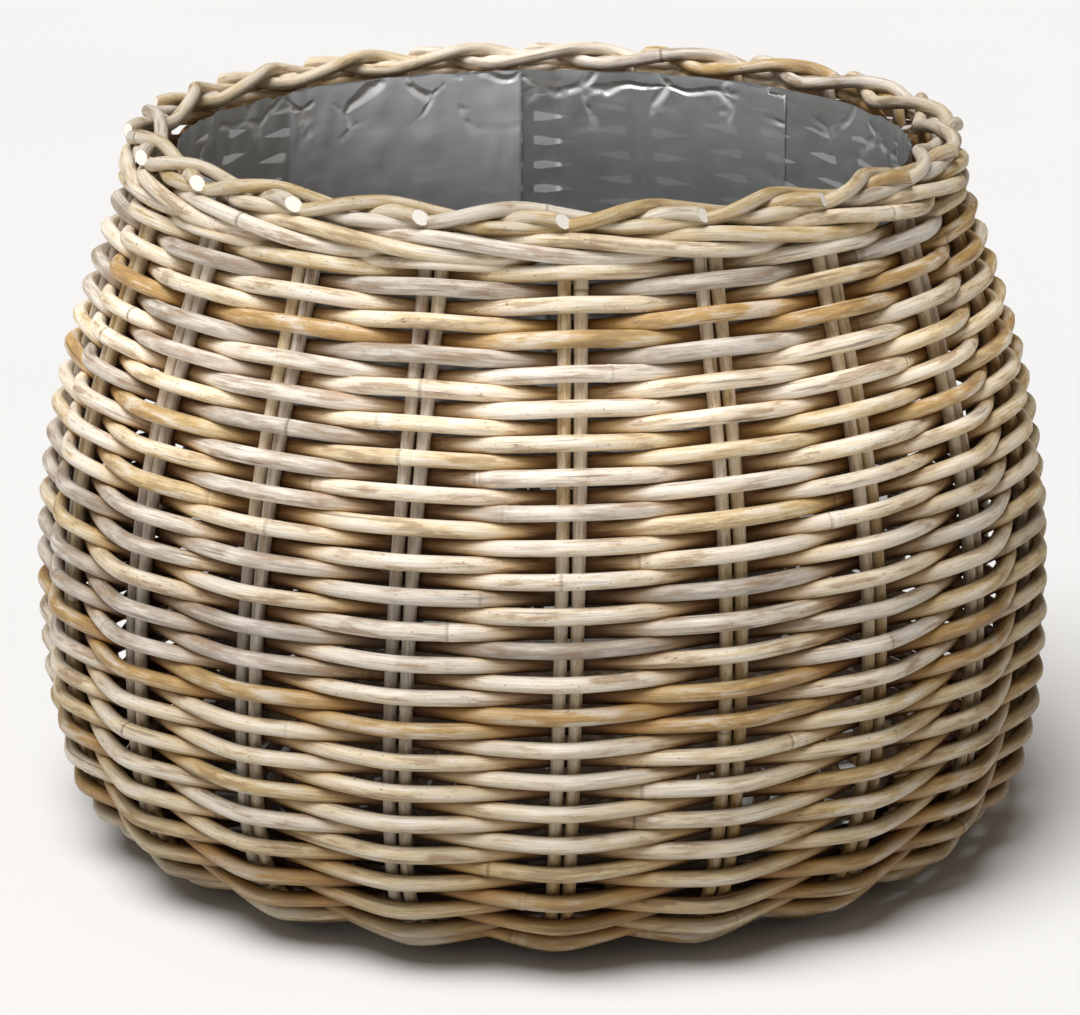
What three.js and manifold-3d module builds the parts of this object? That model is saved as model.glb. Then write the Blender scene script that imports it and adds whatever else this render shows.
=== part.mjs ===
// Planter basket: a round bellied stake-and-strand rattan basket with a clear film liner.
// Millimetres, +Z up. The origin is on the floor, under the middle of the base.
import * as THREE from "three";
import { mergeVertices } from "three/addons/utils/BufferGeometryUtils.js";
import Module from "manifold-3d";

// Overall sizes
const HEIGHT = 350; // floor to the top of the border
const BELLY_DIAMETER = 500; // outside, over the weavers
const BELLY_HEIGHT = 119; // floor to the widest row
const FOOT_RADIUS = 168; // stake circle where the side leaves the base
const MOUTH_RADIUS = 190; // stake circle under the border
const FOOT_FLARE = 52; // how far the side runs flat and outwards before it turns up
const LOWER_BULGE = 92; // length of the upright stretch of curve below the belly
const UPPER_BULGE = 115; // the same above the belly
const MOUTH_LEAN = 7; // how far the side leans in over its last stretch
const MOUTH_STRETCH = 48; // height of that stretch

// Rods
const STAKE_PAIRS = 20;
const STAKE_DIAMETER = 5.8;
const PAIR_GAP = 1.5; // between the two rods of a pair
const WEAVER_DIAMETER = 6.7;
const ROW_GAP = 0.5; // least gap between one row and the next
const CLEARANCE = 0.3; // between rods that touch on the real basket
const JOIN_GAP = 2.8; // between the butted ends of two weavers
const FIRST_STAKE_DEG = -88.7; // the pair nearest the front, measured from +X
const TWIST_DEG = 2.4; // how far the stakes lean round from base to mouth
const LENGTHS_PER_WEAVER = 5;

// Base
const STICK_DIAMETER = 6;
const STICKS = 5; // each runs right across, so the base has twice as many spokes
const BASE_WEAVER_DIAMETER = 5.5;
const BASE_CENTRE_RADIUS = 42; // first round of the base weave
const STAKE_BUTT = 13; // how far the stakes reach into the base from the foot circle

// Foot and border
const FLAT_CUT = 1; // worn flat on the rods that the basket stands on
const WALE_RODS = 3;
const BORDER_RISE = 8; // wale to the highest rod of the border, centre to centre

// Liner
const FILM_THICKNESS = 0.6;
const LINER_CORNER = 12;
const LINER_BELOW_BORDER = 11; // film's top edge under the top of the basket

// Faceting
const ROD_SIDES = 5;
const WEAVER_SIDES = 4;
const BASE_SIDES = 4;
const UPRIGHT_STEPS = 10;
const BEND_SAMPLES = 200;
const LINER_SEGMENTS = 40;

// What follows from the sizes above
const TURN = Math.PI * 2;
const STAKE_R = STAKE_DIAMETER / 2;
const WEAVER_R = WEAVER_DIAMETER / 2;
const PAIR_PITCH = STAKE_DIAMETER + PAIR_GAP;
const PAIR_HALF_WIDTH = (PAIR_PITCH + STAKE_DIAMETER) / 2;

// How far a rod that zigzags round posts has to swing from their middle to clear their edges.
function swingFor(radius, posts, postHalfWidth, reach) {
  const spacing = (TURN * radius) / posts;
  return reach / (1 - (2 * postHalfWidth) / spacing);
}

const REACH = STAKE_R + WEAVER_R + CLEARANCE;
const swingAt = (radius) => swingFor(radius, STAKE_PAIRS, PAIR_HALF_WIDTH, REACH);

const BELLY_OUTSIDE = BELLY_DIAMETER / 2;
const BELLY_RADIUS = BELLY_OUTSIDE - swingAt(BELLY_OUTSIDE) - WEAVER_R;
const FOOT_Z = swingAt(FOOT_RADIUS) + WEAVER_R - FLAT_CUT;
const MOUTH_Z = HEIGHT - STAKE_R - BORDER_RISE;

// The stakes' centreline, as radius and height, from the base to the mouth.
const side = new THREE.CurvePath();
side.add(
  new THREE.CubicBezierCurve(
    new THREE.Vector2(FOOT_RADIUS, FOOT_Z),
    new THREE.Vector2(FOOT_RADIUS + FOOT_FLARE, FOOT_Z),
    new THREE.Vector2(BELLY_RADIUS, BELLY_HEIGHT - LOWER_BULGE),
    new THREE.Vector2(BELLY_RADIUS, BELLY_HEIGHT),
  ),
);
side.add(
  new THREE.CubicBezierCurve(
    new THREE.Vector2(BELLY_RADIUS, BELLY_HEIGHT),
    new THREE.Vector2(BELLY_RADIUS, BELLY_HEIGHT + UPPER_BULGE),
    new THREE.Vector2(MOUTH_RADIUS + MOUTH_LEAN, MOUTH_Z - MOUTH_STRETCH),
    new THREE.Vector2(MOUTH_RADIUS, MOUTH_Z),
  ),
);
const SIDE_LENGTH = side.getLength();

// Angle of a place counted in stake pairs, at a share of the way up the side.
function angleAt(pairs, share) {
  const degrees = FIRST_STAKE_DEG + (360 * pairs) / STAKE_PAIRS + TWIST_DEG * share;
  return THREE.MathUtils.degToRad(degrees);
}

// A point from its radius, height and angle, moved sideways round the basket by shift.
function roundPoint(radius, z, angle, shift = 0) {
  const c = Math.cos(angle);
  const s = Math.sin(angle);
  return new THREE.Vector3(radius * c - shift * s, radius * s + shift * c, z);
}

// Shares of the side's length at which the stakes have a step: closer together where the side bends.
function bendStops() {
  const bend = [0];
  for (let i = 1; i <= BEND_SAMPLES; i++) {
    const before = side.getTangent((i - 1) / BEND_SAMPLES);
    const turn = before.angleTo(side.getTangent(i / BEND_SAMPLES));
    bend.push(bend[i - 1] + Math.sqrt(turn * BEND_SAMPLES) + 0.5);
  }
  return Array.from({ length: UPRIGHT_STEPS + 1 }, (_, step) => {
    const wanted = (bend[BEND_SAMPLES] * step) / UPRIGHT_STEPS;
    return bend.findIndex((value) => value >= wanted - 1e-9) / BEND_SAMPLES;
  });
}

const STOPS = bendStops();
const stopPoints = STOPS.map((share) => side.getPoint(share));

// The stakes' middle at a length up the side, on the straight stretches between their steps.
function stakeMiddle(along) {
  const share = along / SIDE_LENGTH;
  const next = Math.max(STOPS.findIndex((stop) => stop >= share), 1);
  const part = (share - STOPS[next - 1]) / (STOPS[next] - STOPS[next - 1]);
  return stopPoints[next - 1].clone().lerp(stopPoints[next], part);
}

// A point on the side: along is the length up the side, out the distance outside the stakes' middle.
function sidePoint(along, pairs, out, shift = 0) {
  const share = along / SIDE_LENGTH;
  const middle = stakeMiddle(along);
  const tangent = side.getTangent(share);
  const radius = middle.x + tangent.y * out;
  return roundPoint(radius, middle.y - tangent.x * out, angleAt(pairs, share), shift);
}

const sideRadius = (along) => stakeMiddle(along).x;

// A path through given stations, so that each ring of a rod lies at a station.
class StationPath extends THREE.Curve {
  constructor(stations) {
    super();
    this.stations = stations;
  }

  getPoint(t, target = new THREE.Vector3()) {
    const last = this.stations.length - 1;
    const i = Math.min(Math.floor(t * last), last - 1);
    return target.copy(this.stations[i]).lerp(this.stations[i + 1], t * last - i);
  }

  getUtoTmapping(u) {
    return u;
  }
}

function roundSection(diameter, sides) {
  const corners = Array.from({ length: sides }, (_, i) => {
    const angle = (TURN * i) / sides;
    return new THREE.Vector2(Math.cos(angle), Math.sin(angle)).multiplyScalar(diameter / 2);
  });
  return new THREE.Shape(corners);
}

function rodAlong(stations, diameter, sides = ROD_SIDES) {
  return new THREE.ExtrudeGeometry(roundSection(diameter, sides), {
    steps: stations.length - 1,
    extrudePath: new StationPath(stations),
    bevelEnabled: false,
  });
}

// Materials
const material = (color, roughness, extra = {}) =>
  new THREE.MeshStandardMaterial({ color, roughness, metalness: 0, ...extra });
const weaverCane = material(0xb9a183, 0.6);
const stakeCane = material(0xa8957b, 0.62);
const waleCane = material(0xb09468, 0.6);
const baseCane = material(0x9c8a6c, 0.65);
const clearFilm = material(0xc9cdd0, 0.12, { transparent: true, opacity: 0.3 });

const basket = new THREE.Group();

function addPiece(name, geometry, finish) {
  const mesh = new THREE.Mesh(geometry, finish);
  mesh.name = name;
  basket.add(mesh);
  return mesh;
}

const numbered = (name, i) => `${name}_${String(i + 1).padStart(2, "0")}`;

// Solid geometry for cutting and joining
const wasm = await Module();
wasm.setup();

function toSolid(geometry) {
  const bare = geometry.clone();
  bare.deleteAttribute("normal");
  bare.deleteAttribute("uv");
  const merged = mergeVertices(bare, 1e-4);
  return new wasm.Manifold(
    new wasm.Mesh({
      numProp: 3,
      vertProperties: merged.attributes.position.array,
      triVerts: new Uint32Array(merged.index.array),
    }),
  );
}

function toGeometry(solid) {
  const mesh = solid.getMesh();
  return new THREE.BufferGeometry()
    .setAttribute("position", new THREE.BufferAttribute(mesh.vertProperties, 3))
    .setIndex(new THREE.BufferAttribute(mesh.triVerts, 1));
}

// Stakes: each rod lies in the base, turns up the side and is bent over into the border.
const STAKE_SIDE = PAIR_PITCH / 2;

function uprightStations(pair, shift, top) {
  const butt = roundPoint(FOOT_RADIUS - STAKE_BUTT, FOOT_Z, angleAt(pair, 0), shift);
  const rise = STOPS.map((share) => sidePoint(Math.min(share * SIDE_LENGTH, top), pair, 0, shift));
  return [butt, ...rise];
}

// The border's route over the next three pairs: pairs passed, distance out from the stakes' middle
// in swings, and height above the mouth in border rises.
const BORDER_ROUTE = [
  [0.25, 0.55, 0.05],
  [0.45, 0.76, 0.12],
  [0.7, 0.67, 0.1],
  [0.92, 0.69, 0.3],
  [1.08, 0.76, 0.6],
  [1.25, 0.52, 0.9],
  [1.45, -0.31, 1],
  [1.6, -0.7, 0.86],
  [1.95, -0.88, 0.4],
  [2.2, -0.74, 0.1],
  [2.42, -0.1, 0.15],
  [2.56, 0.14, 0.68],
  [2.72, 0.67, 0.9],
  [2.92, 1.22, 0.85],
];

function borderStations(pair) {
  const swing = swingAt(MOUTH_RADIUS);
  return BORDER_ROUTE.map(([pairs, out, up]) =>
    roundPoint(
      MOUTH_RADIUS + out * swing,
      MOUTH_Z + up * BORDER_RISE,
      angleAt(pair + pairs, 1),
      STAKE_SIDE,
    ),
  );
}

// Half the gap at a butted join, counted in stake pairs.
const joinShare = (radius) => (JOIN_GAP * STAKE_PAIRS) / (TURN * radius) / 2;

const ROW_STEP = WEAVER_DIAMETER + ROW_GAP;
const WALE_STEP = ROW_STEP + ROW_GAP;
const BYE_STAKE_TOP = SIDE_LENGTH - STAKE_R;

for (let pair = 0; pair < STAKE_PAIRS; pair++) {
  const stake = [...uprightStations(pair, STAKE_SIDE, SIDE_LENGTH), ...borderStations(pair)];
  addPiece(numbered("stake", pair), rodAlong(stake, STAKE_DIAMETER), stakeCane);
  const byeStake = uprightStations(pair, -STAKE_SIDE, BYE_STAKE_TOP);
  addPiece(numbered("bye_stake", pair), rodAlong(byeStake, STAKE_DIAMETER), stakeCane);
}

// Waling: three rods, each outside two pairs and inside the next, stacked two high on the outside.
// Each row is a half pair on: swings out and steps up.
const WALE_ROUTE = [
  [1, 1.1],
  [1, 0.6],
  [1, 0.1],
  [0, 0],
  [-1, 0.5],
  [0, 1],
];

function waleStations(rod, low) {
  const steps = STAKE_PAIRS * 2;
  const gap = joinShare(sideRadius(low));
  return Array.from({ length: steps + 1 }, (_, i) => {
    const [out, up] = WALE_ROUTE[(i + 2 * rod) % WALE_ROUTE.length];
    const along = low + up * WALE_STEP;
    const pairs = gap + ((STAKE_PAIRS - 2 * gap) * i) / steps;
    return sidePoint(along, pairs, out * swingAt(sideRadius(along)));
  });
}

const MOUTH_SLOPE = -side.getTangent(1).x;
const BORDER_SEAT = REACH + MOUTH_SLOPE * swingAt(MOUTH_RADIUS);
const TOP_WALE_LOW = SIDE_LENGTH - BORDER_SEAT - WALE_STEP;
const FOOT_WALE_LOW = 0;

const floorBlock = new THREE.BoxGeometry(BELLY_DIAMETER, BELLY_DIAMETER, BELLY_DIAMETER);
floorBlock.translate(0, 0, -BELLY_DIAMETER / 2);
const underFloor = toSolid(floorBlock);

for (let rod = 0; rod < WALE_RODS; rod++) {
  const foot = toSolid(rodAlong(waleStations(rod, FOOT_WALE_LOW), WEAVER_DIAMETER));
  addPiece(`foot_wale_rod_${rod + 1}`, toGeometry(foot.subtract(underFloor)), waleCane);
  const top = rodAlong(waleStations(rod, TOP_WALE_LOW), WEAVER_DIAMETER);
  addPiece(`top_wale_rod_${rod + 1}`, top, waleCane);
}

// Weavers: two rods chase each other round the pairs, over one and under the next, from opposite sides.
const CHORD_SAG = FOOT_RADIUS * (1 - Math.cos(Math.PI / STAKE_PAIRS));
const FIRST_ROW = FOOT_WALE_LOW + WALE_STEP + ROW_STEP + CHORD_SAG;
const LAST_ROW = TOP_WALE_LOW - ROW_STEP;
const TURNS = Math.floor((LAST_ROW - FIRST_ROW) / (2 * ROW_STEP));
const CLIMB = (LAST_ROW - FIRST_ROW) / TURNS; // per turn of one weaver

// From one pair to another, both counted from the weaver's first pair.
function weaverStations({ firstPair, firstSide }, start, end) {
  const steps = end - start;
  const gap = joinShare(BELLY_RADIUS);
  return Array.from({ length: steps + 1 }, (_, i) => {
    const pairs = start + gap + ((steps - 2 * gap) * i) / steps;
    const along = FIRST_ROW + (CLIMB * pairs) / STAKE_PAIRS;
    const out = (start + i) % 2 === 0 ? firstSide : -firstSide;
    return sidePoint(along, firstPair + pairs, out * swingAt(sideRadius(along)));
  });
}

const TOTAL_STEPS = TURNS * STAKE_PAIRS;
const HALF_ROUND = Math.floor(STAKE_PAIRS / 2);
const weavers = {
  a: { firstPair: 0, firstSide: 1 },
  b: { firstPair: HALF_ROUND, firstSide: HALF_ROUND % 2 === 0 ? -1 : 1 },
};
for (const [letter, weaver] of Object.entries(weavers)) {
  for (let i = 0; i < LENGTHS_PER_WEAVER; i++) {
    const start = Math.round((TOTAL_STEPS * i) / LENGTHS_PER_WEAVER);
    const end = Math.round((TOTAL_STEPS * (i + 1)) / LENGTHS_PER_WEAVER);
    const rod = rodAlong(weaverStations(weaver, start, end), WEAVER_DIAMETER, WEAVER_SIDES);
    addPiece(`weaver_${letter}${i + 1}`, rod, weaverCane);
  }
}

// Base: crossed sticks, and two rods chasing each other round their spokes from the middle outwards.
const SPOKES = STICKS * 2;
const STICK_R = STICK_DIAMETER / 2;
const BASE_WEAVER_R = BASE_WEAVER_DIAMETER / 2;
const STICK_REACH = FOOT_RADIUS - WEAVER_R - CLEARANCE;
const SPOKE_OFFSET = 0.5; // in stake pairs: the spokes lie between the pairs
const BASE_EDGE = FOOT_RADIUS - STAKE_BUTT - BASE_WEAVER_R - CLEARANCE;
const BASE_STEP = BASE_WEAVER_DIAMETER + ROW_GAP;
const BASE_TURNS = Math.floor((BASE_EDGE - BASE_CENTRE_RADIUS) / (2 * BASE_STEP));
const BASE_CLIMB = (BASE_EDGE - BASE_CENTRE_RADIUS) / BASE_TURNS;

const spokeAngle = (spokes) => angleAt(SPOKE_OFFSET, 0) + (TURN * spokes) / SPOKES;

function baseStick(i) {
  const stick = new THREE.CylinderGeometry(STICK_R, STICK_R, 2 * STICK_REACH, ROD_SIDES + 1);
  stick.rotateZ(Math.PI / 2).rotateZ(spokeAngle(i)).translate(0, 0, FOOT_Z);
  return toSolid(stick);
}

const sticks = Array.from({ length: STICKS }, (_, i) => baseStick(i));
const slath = sticks.reduce((joined, stick) => joined.add(stick));
addPiece("base_slath", toGeometry(slath), baseCane);

function baseWeaverStations(offset) {
  return Array.from({ length: BASE_TURNS * SPOKES + 1 }, (_, i) => {
    const radius = BASE_CENTRE_RADIUS + (BASE_CLIMB * i) / SPOKES;
    const reach = STICK_R + BASE_WEAVER_R + CLEARANCE;
    const swing = swingFor(radius, SPOKES, STICK_R, reach);
    const up = i % 2 === 0 ? swing : -swing;
    return roundPoint(radius, FOOT_Z + up, spokeAngle(i + offset));
  });
}

const baseWeavers = { a: 0, b: STICKS };
for (const [letter, offset] of Object.entries(baseWeavers)) {
  const rod = rodAlong(baseWeaverStations(offset), BASE_WEAVER_DIAMETER, BASE_SIDES);
  addPiece(`base_weaver_${letter}`, rod, baseCane);
}

// Liner: an open film bag that stands on the base and hangs inside the side.
const BASE_TOP = FOOT_Z + swingFor(BASE_CENTRE_RADIUS, SPOKES, STICK_R, STICK_R + BASE_WEAVER_R + CLEARANCE)
  + BASE_WEAVER_R;
const LINER_RADIUS = MOUTH_RADIUS - swingAt(MOUTH_RADIUS) - WEAVER_R - CLEARANCE;
const LINER_BOTTOM = BASE_TOP + CLEARANCE;
const LINER_TOP = HEIGHT - LINER_BELOW_BORDER;

function linerProfile() {
  const outer = LINER_RADIUS;
  const inner = outer - FILM_THICKNESS;
  const floor = LINER_BOTTOM + FILM_THICKNESS;
  const bend = LINER_BOTTOM + LINER_CORNER;
  const points = [
    [0, LINER_BOTTOM],
    [outer - LINER_CORNER, LINER_BOTTOM],
    [outer, bend],
    [outer, LINER_TOP],
    [inner, LINER_TOP],
    [inner, bend],
    [inner - LINER_CORNER, floor],
    [0, floor],
  ];
  return points.map(([radius, z]) => new THREE.Vector2(radius, z));
}

const bag = new THREE.LatheGeometry(linerProfile(), LINER_SEGMENTS).rotateX(Math.PI / 2);
addPiece("film_liner", bag, clearFilm);

export default basket;
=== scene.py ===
"""Round bellied planter basket of woven rattan with a clear film liner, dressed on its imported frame."""

import logging
import math
import random
from bisect import bisect_right
from dataclasses import dataclass
from enum import Enum
from functools import cached_property
from itertools import accumulate
from typing import Callable, Iterable

import bmesh
import bpy
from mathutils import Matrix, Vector, noise
from mathutils.geometry import interpolate_bezier


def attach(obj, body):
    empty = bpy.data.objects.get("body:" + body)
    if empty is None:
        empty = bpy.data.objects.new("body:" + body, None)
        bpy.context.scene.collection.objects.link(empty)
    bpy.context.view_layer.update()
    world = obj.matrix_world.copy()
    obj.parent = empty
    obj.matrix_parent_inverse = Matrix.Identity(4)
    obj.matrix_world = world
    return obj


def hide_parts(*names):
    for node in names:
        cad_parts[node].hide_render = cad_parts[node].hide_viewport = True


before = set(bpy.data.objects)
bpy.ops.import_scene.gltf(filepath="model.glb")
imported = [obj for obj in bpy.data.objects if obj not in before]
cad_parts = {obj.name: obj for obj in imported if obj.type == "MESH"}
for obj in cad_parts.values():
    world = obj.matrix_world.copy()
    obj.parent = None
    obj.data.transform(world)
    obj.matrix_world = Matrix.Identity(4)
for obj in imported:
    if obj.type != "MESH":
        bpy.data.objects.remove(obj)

LOG = logging.getLogger("planter_basket")
BODY = "root"
TURN = 2 * math.pi
WHITE = (1.0, 1.0, 1.0)
SEEDS = 1000

Triple = tuple[float, float, float]
Socket = bpy.types.NodeSocket
Value = Socket | float
Paint = Socket | Triple


class CaneTone(Enum):
    """Tones of a rod: warmth from bleached to golden, and lightness."""

    ASH = (0.02, 0.86)
    BLEACHED = (0.12, 1.03)
    CREAM = (0.30, 1.02)
    STRAW = (0.52, 1.0)
    OCHRE = (0.72, 0.94)
    GOLDEN = (0.94, 0.92)


class NodeBench:
    """Lays out the nodes of one material."""

    def __init__(self, name: str) -> None:
        """Starts an empty node material.

        Args:
            name: Name of the material.
        """
        self.material = bpy.data.materials.new(name)
        self.material.use_nodes = True
        self.tree = self.material.node_tree
        self.tree.nodes.clear()

    def add(self, kind: str, inputs: dict | None = None, **settings) -> bpy.types.Node:
        """Adds a node.

        Args:
            kind: Blender's identifier of the node.
            inputs: A socket, number, vector or colour for each input, by the input's name or number.
            **settings: Properties of the node.

        Returns:
            The new node.
        """
        node = self.tree.nodes.new(kind)
        for key, value in settings.items():
            setattr(node, key, value)
        for key, value in (inputs or {}).items():
            if isinstance(value, Socket):
                self.tree.links.new(value, node.inputs[key])
            elif node.inputs[key].type == "RGBA":
                node.inputs[key].default_value = (*value, 1.0)
            else:
                node.inputs[key].default_value = value
        return node

    def attribute(self, name: str) -> bpy.types.Node:
        """Reads one of the piece's own attributes."""
        return self.add("ShaderNodeAttribute", attribute_name=name)

    def stretch(self, vector: Socket, scale: Triple) -> Socket:
        """Scales a coordinate by a factor for each axis."""
        return self.add("ShaderNodeMapping", {"Vector": vector, "Scale": scale}).outputs[0]

    def noise(self, vector: Socket, scale: Triple, detail: float, roughness: float = 0.55) -> Socket:
        """Adds fractal noise with a fineness for each axis, and returns its value."""
        inputs = {"Vector": self.stretch(vector, scale), "Scale": 1.0,
                  "Detail": detail, "Roughness": roughness}
        return self.add("ShaderNodeTexNoise", inputs).outputs[0]

    def bump(self, height: Socket, strength: float, distance: float) -> Socket:
        """Turns a height into a bumped normal."""
        inputs = {"Height": height, "Strength": strength, "Distance": distance}
        return self.add("ShaderNodeBump", inputs).outputs[0]

    def math(self, operation: str, a: Value, b: Value, clamp: bool = False) -> Socket:
        """Combines two values by Blender's operation of this name."""
        return self.add("ShaderNodeMath", {0: a, 1: b}, operation=operation, use_clamp=clamp).outputs[0]

    def times(self, a: Value, b: Value, clamp: bool = False) -> Socket:
        """Multiplies two values."""
        return self.math("MULTIPLY", a, b, clamp)

    def span(
        self, value: Socket, low: float, high: float, to_low: float = 0.0, to_high: float = 1.0
    ) -> Socket:
        """Maps a value's span smoothly to another one."""
        inputs = {0: value, 1: low, 2: high, 3: to_low, 4: to_high}
        return self.add("ShaderNodeMapRange", inputs, interpolation_type="SMOOTHSTEP").outputs[0]

    def mix(self, factor: Value, a: Paint, b: Paint, blend: str = "MIX") -> Socket:
        """Mixes two colours by Blender's blend of this name, with the factor as the second one's share."""
        settings = {"data_type": "RGBA", "blend_type": blend, "clamp_factor": True}
        return self.add("ShaderNodeMix", {0: factor, 6: a, 7: b}, **settings).outputs[2]

    def ramp(self, value: Socket, stops: Iterable[tuple[float, Triple]]) -> Socket:
        """Turns a value into a colour.

        Args:
            value: Place on the ramp.
            stops: Place and colour of each stop, in order.

        Returns:
            The colour's socket.
        """
        stops = list(stops)
        node = self.add("ShaderNodeValToRGB", {0: value})
        elements = node.color_ramp.elements
        while len(elements) < len(stops):
            elements.new(1.0)
        for element, (place, colour) in zip(elements, stops):
            element.position = place
            element.color = (*colour, 1.0)
        return node.outputs[0]

    def output(self, shader: Socket) -> bpy.types.Material:
        """Ends the material with a surface shader."""
        self.add("ShaderNodeOutputMaterial", {"Surface": shader})
        return self.material


@dataclass(frozen=True)
class CaneFinish:
    """Weathered bare rattan: bleached outside, brown in the crevices partly from weathering and partly from
    painted shade, with streaks, flecks and rings; its lightness carries painted light and shade.
    """

    # Patterns: fineness along and across the grain, detail and roughness
    DRIFT = ((4.0, 20.0, 20.0), 2.0)
    BLOTCH = ((38.0, 210.0, 210.0), 5.0, 0.62)
    FIBRE = ((45.0, 1500.0, 1500.0), 3.0)
    STREAK = ((22.0, 620.0, 620.0), 4.0, 0.6)
    FLECK = ((420.0, 900.0, 900.0), 2.0)
    SCAR = ((17.0, 330.0, 330.0), 3.0)

    # Spans of one value, and what they become in another
    DRIFT_TO_WARMTH = (0.3, 0.7, -0.24, 0.24)
    STREAK_TO_WARMTH = (0.3, 0.7, -0.1, 0.1)
    BLOTCH_TO_BLOOM = (0.46, 0.62)
    WEAR_AND_SHADE_TO_BLOOM = (0.5, 0.95)
    BLOTCH_TO_STAIN = (0.475, 0.355)
    FIBRE_TO_STAIN = (0.3, 0.6, 0.3, 0.8)
    FIBRE_TO_SHADE = (0.25, 0.75, 0.8, 1.12)
    FLECK_TO_MARK = (0.65, 0.72)
    DRIFT_TO_MARK = (0.42, 0.6, 0.1, 0.7)
    SCAR_TO_MARK = (0.61, 0.72, 0.0, 0.6)
    FLECK_TO_PITH = (0.5, 0.75, 0.0, 0.4)
    STREAK_TO_ROUGHNESS = (0.3, 0.7, 0.42, 0.66)

    TONE_STOPS = (0.0, 0.14, 0.5, 0.75, 1.0)
    WEAR_AND_SHADE_STOPS = (0.14, 0.31, 0.47, 0.64)
    KNOT_BLOOM = -0.5
    KNOT_RING = 0.75
    FIBRE_RELIEF = 0.5
    STREAK_RELIEF = 0.6
    BLOTCH_RELIEF = 0.8
    BUMP = (0.35, 0.0006)
    SPECULAR = 0.42

    slot: str
    lightness: float = 1.0
    bloom: float = 0.5
    # Lifts the part out of the painted shade among the rods
    wear_and_shade_lift: float = 0.0
    # Colours multiplied in from the crevices outwards: partly the brown weathering of the hollows and partly
    # painted shade among the rods
    crevice_patina_and_shade: Triple = (0.10, 0.045, 0.016)
    hollow_patina_and_shade: Triple = (0.33, 0.19, 0.085)
    flank_patina_and_shade: Triple = (0.79, 0.645, 0.455)
    ash: Triple = (0.48, 0.405, 0.33)
    bleached: Triple = (0.75, 0.665, 0.56)
    straw: Triple = (0.74, 0.60, 0.385)
    ochre: Triple = (0.57, 0.41, 0.185)
    golden: Triple = (0.53, 0.33, 0.12)
    pale_skin: Triple = (0.89, 0.835, 0.75)
    stain: Triple = (0.32, 0.20, 0.11)
    ring: Triple = (0.11, 0.06, 0.03)
    cut: Triple = (0.98, 0.95, 0.87)

    def material(self) -> bpy.types.Material:
        """Builds the node material.

        Returns:
            The material, which reads the rods' own attributes for grain, cane with painted light and shade in
            its lightness, wear with painted shade among the rods, and cut.
        """
        bench = NodeBench(self.slot)
        grain = bench.attribute("grain").outputs["Vector"]
        cane = bench.add("ShaderNodeSeparateXYZ", {0: bench.attribute("cane").outputs["Vector"]})
        warmth, light, knot = cane.outputs
        wear_and_shade = bench.math("ADD", bench.attribute("wear_and_shade").outputs["Fac"], self.wear_and_shade_lift, clamp=True)
        cut = bench.attribute("cut").outputs["Fac"]
        patterns = (self.DRIFT, self.BLOTCH, self.FIBRE, self.STREAK, self.FLECK, self.SCAR)
        drift, blotch, fibre, streak, fleck, scar = (bench.noise(grain, *pattern) for pattern in patterns)

        shifted = bench.math("ADD", warmth, bench.span(drift, *self.DRIFT_TO_WARMTH))
        shifted = bench.math("ADD", shifted, bench.span(streak, *self.STREAK_TO_WARMTH), clamp=True)
        tones = (self.ash, self.bleached, self.straw, self.ochre, self.golden)
        colour = bench.ramp(shifted, zip(self.TONE_STOPS, tones))
        bloom = bench.span(wear_and_shade, *self.WEAR_AND_SHADE_TO_BLOOM, 0.0, self.bloom)
        bloom = bench.times(bench.span(blotch, *self.BLOTCH_TO_BLOOM), bloom)
        colour = bench.mix(bloom, colour, self.pale_skin)
        colour = bench.mix(bench.times(knot, self.KNOT_BLOOM, clamp=True), colour, self.pale_skin)
        stain = bench.span(fibre, *self.FIBRE_TO_STAIN)
        stain = bench.times(bench.span(blotch, *self.BLOTCH_TO_STAIN), stain)
        colour = bench.mix(stain, colour, self.stain)
        # Painted shade among the rods, on top of the brown weathering of the hollows: darker the further a
        # spot lies in among the stakes and rows
        patina_and_shade = bench.ramp(wear_and_shade, zip(self.WEAR_AND_SHADE_STOPS, (self.crevice_patina_and_shade, self.hollow_patina_and_shade, self.flank_patina_and_shade, WHITE)))
        colour = bench.mix(1.0, colour, patina_and_shade, "MULTIPLY")
        # The lightness carries the painted light and shade.
        shade = bench.times(bench.span(fibre, *self.FIBRE_TO_SHADE), light)
        shade = bench.times(shade, self.lightness)
        grey = bench.add("ShaderNodeCombineColor", {0: shade, 1: shade, 2: shade}).outputs[0]
        colour = bench.mix(1.0, colour, grey, "MULTIPLY")
        marks = bench.span(drift, *self.DRIFT_TO_MARK)
        marks = bench.times(bench.span(fleck, *self.FLECK_TO_MARK), marks)
        marks = bench.math("MAXIMUM", marks, bench.span(scar, *self.SCAR_TO_MARK))
        colour = bench.mix(marks, colour, self.ring)
        colour = bench.mix(bench.times(knot, self.KNOT_RING, clamp=True), colour, self.ring)
        pith = bench.mix(bench.span(fleck, *self.FLECK_TO_PITH), self.cut, self.straw)
        colour = bench.mix(cut, colour, pith)

        relief = bench.times(fibre, self.FIBRE_RELIEF)
        relief = bench.math("ADD", relief, bench.times(streak, self.STREAK_RELIEF))
        relief = bench.math("ADD", relief, bench.times(blotch, self.BLOTCH_RELIEF))
        roughness = bench.span(streak, *self.STREAK_TO_ROUGHNESS)
        skin = bench.add(
            "ShaderNodeBsdfPrincipled",
            {"Base Color": colour, "Roughness": roughness, "Normal": bench.bump(relief, *self.BUMP),
             "Specular IOR Level": self.SPECULAR},
        )
        return bench.output(skin.outputs[0])


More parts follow.
